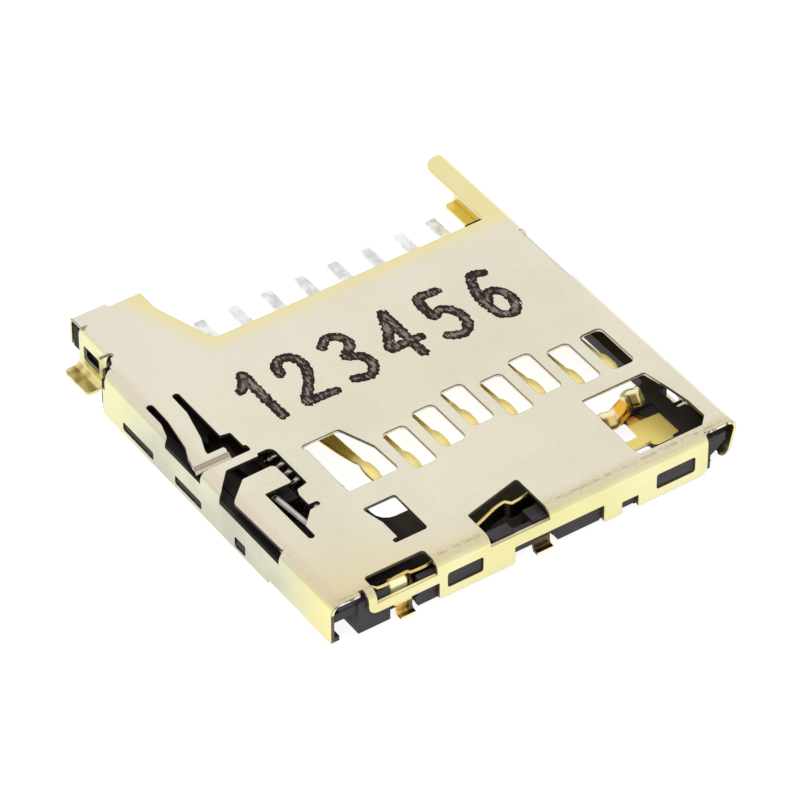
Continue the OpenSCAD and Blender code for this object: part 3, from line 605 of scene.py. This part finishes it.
# Switch plate
# A fixed plate of the same gold-plated strip, laid in the base's floor, with a tail of its own.
# Its tongue dips a little under the blade's dimple, and its arm leaves the floor's opening clear.
tongue_fold = 1.66
tongue_slope = 0.2
arm_trim = 0.17
plate_work = eased("switch_plate", 0.012)
bmesh.ops.bisect_plane(
    plate_work, geom=[*plate_work.verts, *plate_work.edges, *plate_work.faces],
    plane_co=(0, tongue_fold + drawing_zero.y, 0), plane_no=(0, 1, 0),
)
for v in plate_work.verts:
    x, y, z = v.co - drawing_zero
    if y < tongue_fold and z < 0.45:
        v.co.z -= (tongue_fold - y) * tongue_slope
    if -2.76 < x < 1.7 and 2.6 < y < 2.68:
        v.co.y -= arm_trim
settle(plate_work, "switch_pad", contact_gold, "socket", ["switch_plate"])

# Folded shell
# One sheet of spring steel, nickel plated with a flash of gold: pierced, then folded over the base.
# The flats are pale and satin, the folds show the die's rubbing, and the sheared edges are darker.
sheet = 0.1
shell_top = 1.42
side_wall_x, deep_wall_y, lobe_wall_x = 8.45, 4.05, 7.95
tongue_press = 0.2


def sheared(work):
    """Paints the cut edges of the sheet, which lie across its two skins."""
    layer = work.faces.layers.float.new("sheared")
    for f in work.faces:
        n, c = f.normal, f.calc_center_median() - drawing_zero
        top = c.z > shell_top - sheet and abs(n.z) < 0.35
        above_feet = 0.2 < c.z < 1.1
        side = above_feet and abs(c.x - side_wall_x) < sheet and abs(n.x) < 0.3
        deep = c.z < 1.1 and abs(c.y - deep_wall_y) < sheet and abs(n.y) < 0.3
        lobe = above_feet and abs(c.x - lobe_wall_x) < sheet and abs(n.x) < 0.3 and c.y < -7.5
        f[layer] = 1.0 if top or side or deep or lobe else 0.0


def at_hook_root(place):
    """True where the hooked leaf leaves the top, which it does in one sweep."""
    return abs(place.x - 7.86) < 0.37 and abs(place.y - 1.3) < 0.03 and place.z > 1.39


flash = Finish("gold_flashed_steel")
sideways, deepward, upward = (flash.facing(axis) for axis in range(3))
x_mm, y_mm, z_mm = (flash.along(axis) for axis in range(3))
blotch = flash.cloud(0.3, detail=4)
speckle = flash.cloud(9, detail=3)
fine = flash.cloud(13, detail=3).rising(0.42, 0.58)
rolled = flash.cloud(2.2, (0.25, 5, 1))
mottled = (blotch * 0.65 + speckle * 0.35).rising(0.36, 0.64)

# Flats: pale and mottled, with painted light paler towards the mouth and warmer at the near deep corner,
# and a painted golden reflection along the mouth
flat_colour = flash.tint((0.825, 0.765, 0.60), (0.885, 0.835, 0.675), mottled)
flat_colour = flash.tint(flat_colour, (0.88, 0.83, 0.71), y_mm.rising(0.5, -4.0) * 0.5)
near_corner_light = (x_mm * 0.45 + y_mm).rising(6.0, 9.4)
flat_colour = flash.tint(flat_colour, (0.84, 0.73, 0.44), near_corner_light * 0.8)
past_mouth = y_mm + 3.84
past_lobe = (x_mm - 3.195) * 0.949 + past_mouth * 0.315
mouth_reflection = past_mouth.math("MAXIMUM", past_lobe).rising(0.72, -0.05)
flat_colour = flash.tint(flat_colour, (0.95, 0.83, 0.38), mouth_reflection * (0.7 + fine * 0.25))

# Walls, in painted light and shade by which way they face: yellow at the deep end, greener and darker along
# the ejector side
lit_deep_wall = flash.tint((0.80, 0.74, 0.36), (0.85, 0.81, 0.47), blotch.rising(0.35, 0.65))
side_wall_light_and_shade = flash.tint((0.54, 0.535, 0.425), (0.69, 0.69, 0.51), blotch.rising(0.38, 0.62))
# Painted light along the ejector side: yellower towards the deep end, paler towards the mouth
side_wall_light_and_shade = flash.tint(side_wall_light_and_shade, (0.86, 0.79, 0.38), y_mm.rising(4.0, 6.6))
side_wall_light_and_shade = flash.tint(side_wall_light_and_shade, (0.85, 0.82, 0.46), y_mm.rising(-1.6, -3.8) * 0.85)
walls_lit_and_shaded = flash.tint(lit_deep_wall, side_wall_light_and_shade, sideways.rising(0.4, 0.8))
skin = flash.tint(flat_colour, walls_lit_and_shaded, upward.rising(0.86, 0.6))

# Folds: a rubbed band and a broken die line at the deep end, a rubbed band along the side
deep_band = y_mm.rising(6.25, 6.62) * upward.rising(0.62, 0.82)
skin = flash.tint(skin, (0.72, 0.62, 0.37), deep_band * (0.35 + fine * 0.3))
die_line = flash.cloud(7, (0.5, 1, 1), 4).rising(0.44, 0.58)
die_line = die_line * y_mm.near(6.6, 0.09) * upward.rising(0.8, 0.95)
skin = flash.tint(skin, (0.42, 0.30, 0.16), die_line * 0.45)
side_band = x_mm.rising(5.9, 6.22) * upward.rising(0.62, 0.85)
skin = flash.tint(skin, (0.74, 0.57, 0.45), side_band * (0.22 + fine * 0.25))

# The bent leaf's ridged end, its ridges painted as lines of highlight and shade, and the soldering feet of
# the lobe and the finger
foot_roll = x_mm.rising(5.2, 5.3) * x_mm.rising(6.46, 6.44) * y_mm.near(0.2, 0.14).rising(0.0, 0.3)
ridges = (y_mm * 34.0).math("SINE").rising(-0.5, 0.6)
ridge_light_and_shade = flash.tint((0.88, 0.78, 0.70), (0.42, 0.33, 0.27), ridges)
skin = flash.tint(skin, ridge_light_and_shade, foot_roll * 0.85)
solder_foot = z_mm.rising(0.26, 0.14) * x_mm.math("ABSOLUTE").rising(5.4, 5.6) * y_mm.rising(-4.6, -5.0)
window_shade = (y_mm.near(-5.75, 0.2) + y_mm.near(-6.12, 0.16)) * x_mm.rising(0.0, 1.0)
foot_gold = flash.tint((0.93, 0.77, 0.32), (0.50, 0.36, 0.13), (window_shade * 0.7 + speckle * 0.15).held())
foot_gold = flash.tint((0.90, 0.70, 0.20), foot_gold, x_mm.rising(0.0, 1.0))
skin = flash.tint(skin, foot_gold, solder_foot)

# Cut edges: dark, darker in painted shade over the ejector, bright with a painted highlight over the
# contacts with a dark lip, yellow in painted light along the strap, and golden in painted reflection at the
# mouth
cut = flash.mark("sheared")
rim = flash.mark("rim")
over_contacts = y_mm.rising(4.45, 4.35) * x_mm.rising(4.1, 3.9)
outer_edge = y_mm.rising(6.68, 6.71) * z_mm.rising(1.28, 1.31)
# Painted light: the strap's upward-facing cut edges are yellow
lit_strap_edge = y_mm.rising(6.6, 6.65) * z_mm.rising(0.6, 0.7) * z_mm.rising(1.31, 1.28)
lit_strap_edge = lit_strap_edge * upward.rising(0.5, 0.8)
# bare holds a painted highlight: bright cut edges over the contacts, speckled along the outer top edge, and
# fainter at the lobe
bare = over_contacts.math("MAXIMUM", outer_edge * speckle.rising(0.40, 0.5) * 0.85)
bare = bare.math("MAXIMUM", x_mm.rising(5.2, 5.4) * y_mm.rising(-4.5, -4.8) * 0.45)
# Painted shade: the cut edges over the ejector are darker
shade_over_ejector = x_mm.rising(3.7, 4.0) * y_mm.rising(4.6, 4.3) * y_mm.rising(-3.3, -3.0)
cut_colour = flash.tint((0.10, 0.078, 0.05), (0.035, 0.027, 0.017), shade_over_ejector)
cut_colour = flash.tint(cut_colour, (0.95, 0.92, 0.80), bare)
die_lip = over_contacts * z_mm.rising(1.365, 1.385)
cut_colour = flash.tint(cut_colour, (0.13, 0.105, 0.065), die_lip * 0.8)
cut_colour = flash.tint(cut_colour, (0.84, 0.78, 0.38), lit_strap_edge)
# Painted reflection: the cut edges at the mouth are golden, with lighter rims
mouth_edge_reflection = y_mm.rising(-3.2, -3.6) * x_mm.rising(5.4, 5.2)
skin = flash.tint(skin, flash.tint(cut_colour, (0.90, 0.80, 0.42), mouth_edge_reflection), cut)

# Inner faces of the walls at the deep end, which only the dark resin lights
inside = (sideways * x_mm).rising(-2.5, -4.5) + (deepward * y_mm).rising(-3.0, -5.0)
inside = inside * y_mm.rising(5.0, 5.4)
skin = flash.tint(skin, (0.13, 0.10, 0.03), inside.held() * 0.9)
flash.wear(
    base_color=flash.tint(skin, (0.10, 0.08, 0.055), rim * (0.7 - mouth_edge_reflection * 0.35)),
    metallic=1.0 - cut * (0.7 - over_contacts * 0.4),
    roughness=0.25 + rolled * 0.07 + speckle * 0.06 + deep_band * 0.15 + cut * (0.2 - over_contacts * 0.15),
)
flash.relief(speckle * 0.6 + rolled * 0.4 + die_line * 0.8 + ridges * foot_roll * 2.0, 0.0024)

shell_work = eased("shell", 0.012)
sheared(shell_work)
for f in shell_work.faces:
    if at_hook_root(f.calc_center_median() - drawing_zero):
        for layer in shell_work.faces.layers.float.values():
            f[layer] = 0.0
for v in shell_work.verts:
    x, y, z = v.co - drawing_zero
    v.co.z = min(v.co.z, shell_top - inset)
    if at_hook_root(v.co - drawing_zero):
        v.co.z = shell_top - inset
    # The left wall's rounded tongue is pressed in behind the base
    if x < -4.2 and y > 3.3 and z < 0.9:
        v.co.x += tongue_press * min(1.0, (0.9 - z) / 0.6) * min(1.0, (y - 3.3) / 0.25)
settle(shell_work, "folded_shell", flash, "socket", ["shell"])

# Inked numerals
# A row of plain numerals stamped on the top in dark ink, read from the deep end.
# The stamp leaves ragged edges and thin patches where the metal shows through.

# The points of each stroke are shares of the numeral's width and height
numeral_strokes = {
    "1": [[(0.22, 0.74), (0.42, 0.86), (0.56, 1.0), (0.56, 0.5), (0.58, 0.0)]],
    "2": [[
        (0.08, 0.74), (0.16, 0.92), (0.42, 1.0), (0.68, 0.9), (0.72, 0.68), (0.5, 0.4), (0.08, 0.06),
        (0.46, 0.04), (0.84, 0.02),
    ]],
    "3": [[
        (0.1, 0.88), (0.36, 1.0), (0.66, 0.92), (0.7, 0.7), (0.4, 0.54), (0.7, 0.42), (0.78, 0.2),
        (0.5, 0.02), (0.12, 0.08),
    ]],
    "4": [
        [(0.6, 0.98), (0.34, 0.62), (0.06, 0.32), (0.5, 0.31), (0.88, 0.3)],
        [(0.62, 1.0), (0.62, 0.5), (0.64, 0.0)],
    ],
    "5": [[
        (0.78, 0.98), (0.24, 0.97), (0.2, 0.56), (0.5, 0.62), (0.78, 0.42), (0.72, 0.14), (0.42, 0.02),
        (0.1, 0.1),
    ]],
    "6": [[
        (0.72, 0.94), (0.42, 0.96), (0.18, 0.66), (0.12, 0.34), (0.24, 0.06), (0.54, 0.0), (0.78, 0.2),
        (0.7, 0.46), (0.42, 0.54), (0.18, 0.36),
    ]],
}
numeral_places = [("1", 5.5), ("2", 4.1), ("3", 2.6), ("4", 1.05), ("5", -0.5), ("6", -2.05)]
numeral_foot_y = -2.95
numeral_wide, numeral_tall, pen = 1.12, 1.95, 0.165


def numeral(work, figure, middle):
    """Adds one numeral as a thin ragged film."""
    left = middle + numeral_wide / 2
    strokes = []
    for stroke in numeral_strokes[figure]:
        line = flowing([(u, v, 0) for u, v in stroke], 8)
        strokes.append([(left - numeral_wide * p.x, numeral_foot_y - numeral_tall * p.y) for p in line])

    def depth(x, y):
        """How far a place lies inside the ragged outline."""
        nearest = 9.0
        for line in strokes:
            for (ax, ay), (bx, by) in zip(line, line[1:]):
                ex, ey = bx - ax, by - ay
                t = ((x - ax) * ex + (y - ay) * ey) / (ex * ex + ey * ey + 1e-9)
                t = max(0.0, min(1.0, t))
                nearest = min(nearest, math.hypot(x - ax - ex * t, y - ay - ey * t))
        ragged = 0.045 * noise.noise(Vector((x * 9, y * 9, 3.0)))
        ragged += 0.035 * noise.noise(Vector((x * 24, y * 24, 7.0)))
        bare = max(0.0, noise.noise(Vector((x * 15, y * 15, 11.0))) - 0.5) * 0.9
        return pen + ragged - bare - nearest

    cell = 0.03
    xs = np.arange(middle - 0.8, middle + 0.8, cell)
    ys = np.arange(-5.2, -2.7, cell)
    value = [[depth(x, y) for y in ys] for x in xs]
    made = {}
    inked = work.verts.layers.float["inked"]

    def corner(x, y, amount=0.0):
        """The film's point at a place, made once."""
        key = (round(x, 4), round(y, 4))
        if key not in made:
            made[key] = work.verts.new(Vector((x, y, shell_top)) + drawing_zero)
            made[key][inked] = amount / pen
        return made[key]

    for i in range(len(xs) - 1):
        for j in range(len(ys) - 1):
            ring = [(i, j), (i + 1, j), (i + 1, j + 1), (i, j + 1)]
            kept = []
            for (a, b), (c, d) in zip(ring, ring[1:] + ring[:1]):
                here, there = value[a][b], value[c][d]
                if here > 0:
                    kept.append(corner(xs[a], ys[b], here))
                if (here > 0) != (there > 0):
                    t = here / (here - there)
                    kept.append(corner(xs[a] + (xs[c] - xs[a]) * t, ys[b] + (ys[d] - ys[b]) * t))
            if len(set(kept)) > 2:
                work.faces.new(list(dict.fromkeys(kept)))


ink = Finish("stamping_ink", ior=1.45, specular_ior_level=0.15)
bristle = ink.cloud(9, (1.9, 0.55, 1), 5)
patches = ink.cloud(2.2, detail=4)
sparkle = ink.cloud(24, detail=2).rising(0.6, 0.7)
pooled = ink.mark("inked")
worn = (bristle * 0.8 + patches * 0.5 + pooled * 0.24).rising(0.76, 0.98)
ink_colour = ink.tint((0.016, 0.010, 0.007), (0.20, 0.17, 0.14), worn)
ink.wear(
    base_color=ink.tint(ink_colour, (0.42, 0.38, 0.32), sparkle * worn.rising(0.1, 0.5)),
    roughness=0.45 + bristle * 0.3,
)
ink.relief(bristle + patches * 0.5, 0.005)
ink_work = bmesh.new()
ink_work.verts.layers.float.new("inked")
for figure, middle in numeral_places:
    numeral(ink_work, figure, middle)
bmesh.ops.scale(ink_work, vec=(MM, MM, MM), verts=ink_work.verts)
ink_film = placed(ink_work, "inked_numerals", ink)
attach(ink_film, "socket")

# White table and studio
# A seamless white table under a broad overhead light, with a pale room all round.
# The camera looks down past the deep end towards the mouth through a long lens.
paper = Finish(
    "white_table",
    base_color=(0.2, 0.2, 0.2, 1),
    roughness=0.6,
    emission_color=(1, 1, 1, 1),
    emission_strength=0.9,
)
table_work = bmesh.new()
bmesh.ops.create_grid(table_work, x_segments=8, y_segments=8, size=0.6)
placed(table_work, "white_table", paper)

room = bpy.data.worlds.new("pale_room")
room.use_nodes = True
room.node_tree.nodes["Background"].inputs["Color"].default_value = (1.0, 1.0, 1.0, 1)
room.node_tree.nodes["Background"].inputs["Strength"].default_value = 0.9
bpy.context.scene.world = room
bpy.context.scene.view_settings.view_transform = "Standard"


def softbox(name, place, power, size):
    """A square light aimed at the socket."""
    data = bpy.data.lights.new(name, "AREA")
    data.energy = power
    data.size = size
    light = bpy.data.objects.new(name, data)
    light.location = place
    light.rotation_euler = Vector(place).to_track_quat("Z", "Y").to_euler()
    light.visible_glossy = False
    bpy.context.scene.collection.objects.link(light)


softbox("overhead", (-0.05, 0.03, 0.45), 1.0, 0.60)

frame_width = 800
focal_pixels = 5383.1665
eye = (0.06096357, 0.08979919, 0.09627033)
azimuth, elevation, roll = (math.radians(a) for a in (145.7192, 41.4604, -0.0746))
back = Vector((
    math.sin(azimuth) * math.cos(elevation), -math.cos(azimuth) * math.cos(elevation), math.sin(elevation)
))
right = Vector((0, 0, 1)).cross(back).normalized()
above = back.cross(right)
turned_right = right * math.cos(roll) + above * math.sin(roll)
turned_up = above * math.cos(roll) - right * math.sin(roll)
lens = bpy.data.cameras.new("long_lens")
lens.sensor_width = 36.0
lens.lens = focal_pixels / frame_width * lens.sensor_width
lens.clip_start = 0.01
lens.clip_end = 10.0
camera = bpy.data.objects.new("long_lens", lens)
turned = Matrix((turned_right, turned_up, back)).transposed().to_4x4()
camera.matrix_world = Matrix.Translation(eye) @ turned
bpy.context.scene.collection.objects.link(camera)
bpy.context.scene.camera = camera
